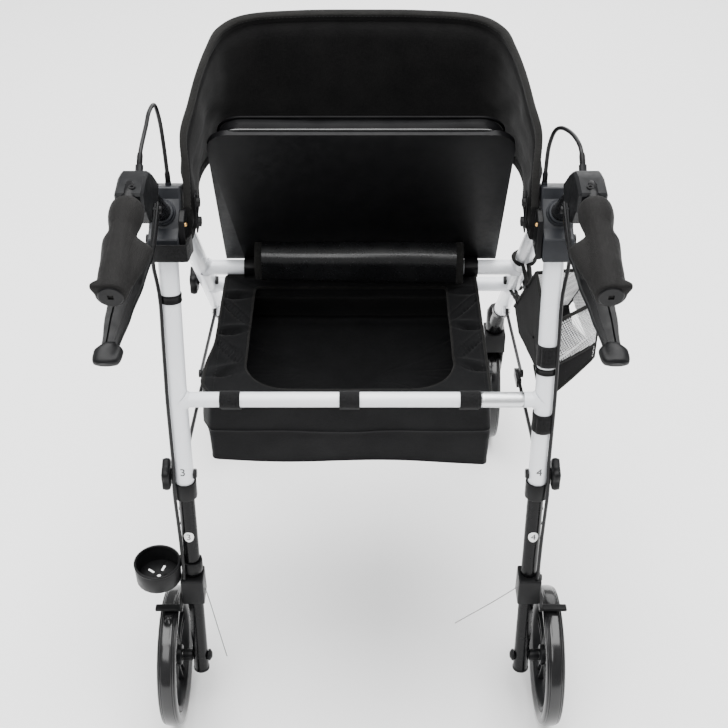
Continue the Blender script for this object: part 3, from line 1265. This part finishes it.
def makeFlap():
    line = fineTable(flapSet["profile"], 6)
    wide = flapSet["right"] - flapSet["left"]
    rows = []
    for t in shares(60):
        x = flapSet["left"] + wide * t
        row = []
        for share, (forward, height) in zip(shares(len(line) - 1), line):
            wave = flapSet["wave"][0] * sin(x * 30 + 3 * share)
            wave += folds(x * 0.5, share * 0.1, 0.3, 1.2, flapSet["wave"][1])
            tilt = -flapSet["tilt"] * (t - flapSet["level"]) * smoothStep(share, *flapSet["tiltFrom"])
            row.append(place(x, forward - wave * (0.3 + share), height + tilt + wave * 0.6))
        rows.append(row)
    flap = keep(ribbonSheet("bagFlap", rows, "flap", flapSet["thick"]), "main_frame")
    made = [flap]
    for index, x in ((3, "Left"), (57, "Right")):
        outs = [Vector((0, -1, 0.3)).normalized()] * len(line)
        made.append(stitchRow("flapHem" + x, rows[index][10:], outs, "main_frame"))
    for index, x in ((1, "Left"), (59, "Right")):
        tape = [[point + Vector((0, -back, back / 2)) for point in rows[index + step]]
                for step, back in ((-1, 0.0008), (0, 0.001), (1, 0.0008))]
        made.append(keep(ribbonSheet("flapTape" + x, tape, "tape", flapSet["tape"]), "main_frame"))
    for thing in made:  # the lowered seat presses it flat
        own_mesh(thing)


tabSet = {"places": (-0.1697, -0.0149, 0.1412), "half": 0.0132, "thick": 0.0012, "clear": 0.0009,
          "wave": 0.0004, "start": ((0.0128, -0.024), (0.0126, -0.006)),
          "end": ((0.0035, -0.0165), (0.0095, -0.0245))}


def makeTabs():  # hook-and-loop tabs from the bag's rear edge round the crossbar
    radius = tubeSet["crossbarRadius"] + tabSet["clear"]
    profile = [Vector(spot) for spot in tabSet["start"]]
    profile += [radius * Vector((cos(angle), sin(angle))) for angle in degrees(-10, 261, 15)]
    profile += [Vector(spot) for spot in tabSet["end"]]
    for number, middle in enumerate(tabSet["places"]):
        rows = []
        for t in shares(8):
            x = middle + tabSet["half"] * (2 * t - 1)
            lift = tabSet["wave"] * noise.noise(Vector((x * 60, number, 0)))
            rows.append([at(x, crossbar + spot + spot.normalized() * lift) for spot in profile])
        keep(ribbonSheet(f"bagTab_{number + 1}", rows, "fuzz", tabSet["thick"]), "rear_frame")
        for hand, row in (("a", rows[1]), ("b", rows[7])):
            outs = [(point - at(point.x, crossbar)).normalized() for point in row]
            stitchRow(f"tabStitch_{number + 1}{hand}", row[2:-2], outs[2:], "rear_frame")


pouchSet = {
    "inside": 0.236, "outside": 0.318, "pitch": 0.0046, "thread": 0.0012, "cloth": 0.0013, "wave": 0.0012,
    "bulge": 0.003, "baseHem": 0.0022, "hem": 0.0021, "binding": 0.0026, "top": 0.0024,
    "inner": [Vector(spot) for spot in ((0.0792, 0.645), (0.202, 0.646), (0.377, 0.466), (0.313, 0.464),
                                        (0.1416, 0.5355), (0.058, 0.54), (0.0659, 0.585))],
    "outer": [Vector(spot) for spot in ((0.15, 0.64), (0.215, 0.644), (0.365, 0.478), (0.318, 0.476),
                                        (0.195, 0.536), (0.15, 0.545), (0.15, 0.59))],
    # edge, and how far down its net reaches (None: all cloth)
    "panels": (((0, 6), 0), ((6, 5), 0.5), ((5, 4), None), ((4, 3), None), ((3, 2), None), ((1, 2), 0)),
    "bindings": (((0, 6), 0.0), ((6, 5), 1.0), ((1, 2), 0.0)),
}


# a point on one side panel, from the inner wall (across 0) to the outer wall (across 1)
def pouchPoint(edge, along, across):
    pouch = pouchSet
    near, far = (pouch[wall][edge[0]].lerp(pouch[wall][edge[1]], along) for wall in ("inner", "outer"))
    bulge = pouch["bulge"] * sin(pi * across)
    x = pouch["inside"] + (pouch["outside"] - pouch["inside"]) * across
    return at(x - 0.0012 * (across > 0.98),
              near.lerp(far, across)) + Vector((0, bulge * (0.5 - along), -bulge * 0.4))


def honeycomb(name, surface, wide, tall):  # knitted net: hexagons of real thread over a surface(u, v)
    pitch = pouchSet["pitch"]
    rowShare, reach = 0.866, pitch * 0.577  # the rows' distance, and from a cell's middle to its corners
    corners, faces, known = [], [], {}
    for row in range(int(tall / (pitch * rowShare)) + 1):
        for column in range(int(wide / pitch) + 1):
            middle = Vector(((column + 0.5 * (row % 2)) * pitch, row * pitch * rowShare))
            ring = []
            for step in range(6):
                angle = pi / 6 + pi / 3 * step
                u = min(1, max(0, (middle.x + reach * cos(angle)) / wide))
                v = min(1, max(0, (middle.y + reach * sin(angle)) / tall))
                spot = surface(u, v)
                if spot is None:
                    break
                key = (round(u, 4), round(v, 4))
                if key not in known:
                    known[key] = len(corners)
                    corners.append(spot)
                if known[key] not in ring:
                    ring.append(known[key])
            if spot is not None and len(ring) > 3:
                faces.append(ring)
    net = meshObject(name, corners, faces, "net")
    modified(net, "WIREFRAME", thickness=pouchSet["thread"], use_boundary=True, use_even_offset=False)
    keep(smoothed(net, 70), "between")


def pouchPanel(name, edge, netShare):
    if netShare is not None:
        tall = (pouchSet["inner"][edge[1]] - pouchSet["inner"][edge[0]]).length
        wide = (pouchPoint(edge, 0.5, 0) - pouchPoint(edge, 0.5, 1)).length
        honeycomb(name + "_net", lambda u, v: pouchPoint(edge, v, u), wide, tall)
    if netShare == 0:
        return
    rows = []
    for a, share in enumerate(shares(14)):
        row = []
        for b, across in enumerate(shares(14)):
            start = (netShare or 0) * across  # the net runs lower at its outer side
            row.append(pouchPoint(edge, start + (1 - start) * share, across)
                       + upward * folds(a * 0.02, b * 0.02, edge[0], 1, pouchSet["wave"]))
        rows.append(row)
    keep(ribbonSheet(name, rows, "pouchCloth", pouchSet["cloth"]), "between")


def makePouchWall(outline, x):
    centre = sum(outline, Vector((0, 0))) / len(outline)
    points = [first.lerp(second, step / 8) for first, second in zip(outline, closed(outline)[1:])
              for step in range(8)]
    rings = []
    for share in (1, 0.93, 0.8, 0.6, 0.4, 0.2, 0.05):
        out = 0.001 * (1 - share ** 2)
        rings.append([at(x + out + folds(spot.x, spot.y, share, 1, 0.001), centre.lerp(spot, share))
                      for spot in points])
    wall = modified(loft("pouchInnerWall", rings, "pouchCloth", capped=False), "SOLIDIFY", thickness=0.0014,
                    offset=0)
    keep(smoothed(wall, 60), "between", "side_pouch")


def makePouch():
    pouch = pouchSet
    outline = pouch["outer"]
    makePouchWall(pouch["inner"], pouch["inside"] + 0.001)
    lowest = Vector([min(spot[side] for spot in outline) for side in (0, 1)])
    size = Vector([max(spot[side] for spot in outline) for side in (0, 1)]) - lowest

    def outerWall(u, v):
        spot = lowest + Vector((u * size.x, v * size.y))
        for first, second in zip(outline, closed(outline)[1:]):
            run = second - first
            if run.x * (spot.y - first.y) - run.y * (spot.x - first.x) > 0.00005:
                return None
        return at(pouch["outside"] - 0.0022, spot)

    honeycomb("pouchOuterNet", outerWall, size.x, size.y)
    for number, (edge, netShare) in enumerate(pouch["panels"]):
        pouchPanel(f"pouchPanel_{number + 1}", edge, netShare)
    hem("pouchBaseHem", [pouchPoint((6, 5), 0.5 * t, t) for t in shares(12)], pouch["baseHem"], sides=10)
    for number, edge in enumerate(((0, 6), (6, 5), (5, 4), (1, 2))):
        for across in (0, 1):
            line = [pouchPoint(edge, t, across) for t in shares(8)]
            hem(f"pouchHem_{number + 1}_{across}", line, pouch["hem"], sides=10)
    for number, (edge, along) in enumerate(pouch["bindings"]):
        hem(f"pouchBinding_{number + 1}", [pouchPoint(edge, along, t) for t in shares(12)], pouch["binding"],
            sides=10)
    for number, (wall, x) in enumerate((("inner", pouch["inside"]),
                                        ("outer", pouch["outside"] - pouch["top"]))):
        start, end = at(x, pouch[wall][0]), at(x, pouch[wall][1])
        hem(f"pouchTop_{number + 1}", [start.lerp(end, t) for t in shares(8)], pouch["top"], sides=10)


# from the strap's right rear edge: right, forward
strapSet = {"end": ((0.0002, -0.0004), (0.0016, 0.004), (0.0024, 0.014), (0.0044, 0.024)), "taller": 0.005}


def makeStrap():  # the webbing round the left bracket has its folded end standing off
    low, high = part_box("cane_strap")
    line = [(low.x + 0.004, low.y - 0.0008), (high.x - 0.004, low.y - 0.001)]
    line += [(high.x + right, low.y + forward) for right, forward in strapSet["end"]]
    tall = high.z + strapSet["taller"] - low.z
    rows = [[Vector((x, y - 0.0006 * sin(pi * t), low.z + tall * t)) for t in shares(8)] for x, y in line]
    keep(ribbonSheet("strapEnd", rows, "fuzz", 0.0014), "main_frame")


wireSet = {
    "radius": 0.0006,
    "left": ((-0.2219, 0.012, 0.232), (-0.214, -0.002, 0.212), (-0.204, -0.019, 0.18), (-0.193, -0.036, 0.142)),
    "right": ((0.2219, 0.014, 0.232), (0.196, 0.006, 0.217), (0.166, -0.001, 0.199), (0.135, -0.008, 0.181)),
}


def makeWires():  # the bare ends of the two brake wires, clamped at the top
    for tag in sideSign:
        line = smoothPath([place(*point) for point in wireSet[tag]], 0.006)
        wire = keep(tube("brakeWire_" + tag, line, wireSet["radius"], "wire", 8), "rear_foot_" + tag,
                    "wire_tail_" + tag)


makeBackrest()
makeSeat()
makeBag()
makeFlap()
makeTabs()
makePouch()
makeStrap()
makeWires()
print("soft goods ready")

# Trim on the tubes
trimSet = {
    "bands": ((0.6178, 0.029, upperLean), (0.522, 0.028, lowerLean)),
    "rings": {"left": (0.694, 0.0115), "right": (0.5965, 0.009)}, "label": (0.1545, 0.2108),
    "webbing": ((0.285, (0.262, 0.583), 0.0029), (0.452, (0.3475, 0.496), 0.0027)),
    "webbingOff": 0.003, "webbingHalf": 0.0022, "webbingStretch": 1.25, "pin": (0.0024, 0.0024),
}


def bandRound(name, x, spot, direction, length, look, bulge, seam):
    axis = Vector((0, *direction))
    radius = tubeRadius + 0.0002
    edge = (radius + bulge * 0.8, length / 2 - 0.0006)
    middle = [(radius + bulge * (0.85 + 0.15 * sin(pi * t * 3)), length * (t - 0.5)) for t in shares(8)[1:-1]]
    profile = [(radius, -length / 2), (edge[0], -edge[1]), *middle, edge, (radius, length / 2)]
    band = turned(name, profile, at(x, spot), axis, look, 40)
    if seam:  # the overlapping end
        across = axis.cross(rightward)
        arc = [(radius + bulge + 0.0007) * (cos(angle) * rightward + sin(angle) * across)
               for angle in degrees(-130, -20, 12)]
        rows = [[at(x, spot) + axis * a * length * 0.48 + point for point in arc]
                for a in (-1, -0.5, 0, 0.5, 1)]
        band = joined(name, [band, ribbonSheet("end", rows, look, 0.0009)])
    keep(band, "rear_frame")


def makeWebbing(name, along, pouchSpot, width):  # a strap from the pouch's edge round the front leg
    leg = onFrontLeg(along)
    towards = (pouchSpot - leg).normalized()
    radius, half = tubeRadius + trimSet["webbingOff"], trimSet["webbingHalf"]
    behind = towards * radius * trimSet["webbingStretch"]
    points = [at(tubeX + radius * cos(angle), leg - behind * sin(angle)) for angle in degrees(-75, 256, 15)]
    path = smoothPath([at(tubeX + half, pouchSpot), *points, at(tubeX - half, pouchSpot)], 0.0035)
    hem(name, path, [width * (1 + 0.12 * sin(index * 0.9)) for index in range(len(path))], "main_frame")


def makeTrim():
    for number, (height, length, lean) in enumerate(trimSet["bands"]):
        bandRound(f"pouchBand_{number + 1}", tubeX, onUpright(height), lean, length, "fuzz", 0.0012, True)
    for tag, side in sideSign.items():
        height, length = trimSet["rings"][tag]
        bandRound("clipRing_" + tag, side * tubeX, onUpright(height), upperLean, length, "black", 0.0013, False)
    for number, (along, pouchSpot, width) in enumerate(trimSet["webbing"]):
        makeWebbing(f"webbing_{number + 1}", along, Vector(pouchSpot), width)
    left, right = trimSet["label"]
    radius = tubeSet["crossbarRadius"] + 0.00025
    arc = [crossbar + radius * Vector((cos(angle), sin(angle))) for angle in degrees(70, 291, 10)]
    rows = [[at(left + (right - left) * t, spot) for spot in arc] for t in shares(12)]
    keep(ribbonSheet("foilLabel", rows, "foil", 0.0002), "rear_frame")


markSet = {"digits": {"left": "3", "right": "4"}, "upperHeight": 0.4455, "stickerHeight": 0.334, "size": 0.0165,
           "stickerWide": 0.0072, "stickerTall": 0.0084, "pin": (0.2122, 0.086, 0.794)}


def wrapped(thing, x, height, radius):  # lays flat points (across, up) on the rear of a tube
    back = Vector((-lowerLean.y, lowerLean.x))
    for vertex in thing.data.vertices:
        across, up, lift = vertex.co
        spot = onUpright(height) + lowerLean * up + back * cos(across / radius) * (radius + lift)
        vertex.co = at(x + sin(across / radius) * (radius + lift), spot)
    return thing


def makeDigit(name, text, x, height, radius, size, body, lift):
    curve = bpy.data.curves.new(name, "FONT")
    curve.body = text
    curve.size = size
    curve.align_x = "CENTER"
    curve.align_y = "CENTER"
    source = addObject(name, curve)
    bpy.context.view_layer.update()
    mesh = bpy.data.meshes.new_from_object(source.evaluated_get(bpy.context.evaluated_depsgraph_get()))
    bpy.data.objects.remove(source, do_unlink=True)

    def cutFine(shape):  # so that it can lie round the tube
        bmesh.ops.subdivide_edges(shape, edges=shape.edges, cuts=3, use_grid_fill=True)
        for vertex in shape.verts:
            vertex.co.z = lift

    changed(mesh, cutFine)
    mesh.materials.clear()
    mesh.materials.append(finishes["ink"][0])
    keep(wrapped(addObject(name, mesh), x, height, radius), body)


def makeMarks(tag, side):  # plain height numbers, printed on the tube and on round stickers
    mark, x, foot = markSet, side * tubeX, "rear_foot_" + tag
    text = mark["digits"][tag]
    makeDigit("printedNumber_" + tag, text, x, mark["upperHeight"], tubeRadius, mark["size"], "rear_frame",
              0.0003)
    rings = []
    for share, lift in ((1.0, 0.0), (1.0, 0.00035), (0.5, 0.0004), (0.01, 0.0004)):
        wide, tall = mark["stickerWide"] * share, mark["stickerTall"] * share
        rings.append([Vector((wide * cos(angle), tall * sin(angle), lift)) for angle in turns(36)])
    keep(wrapped(loft("numberSticker_" + tag, rings, "sticker"), x, mark["stickerHeight"], legRadius), foot)
    makeDigit("stickerNumber_" + tag, text, x, mark["stickerHeight"], legRadius, mark["size"] * 0.84, foot,
              0.0006)
    right, forward, height = mark["pin"]  # the brass end of the pin below the backrest
    keep(dome("brassPin_" + tag, place(side * right, forward, height), Vector((-side, -0.5, 0.3)),
              *trimSet["pin"], "brass"), "main_frame")


makeTrim()
for tag, side in sideSign.items():
    makeMarks(tag, side)
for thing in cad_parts.values():  # the model's own pieces, all replaced above
    for index in range(len(thing.data.materials)):
        thing.data.materials[index] = finishes["black"][0]
print("trim ready")
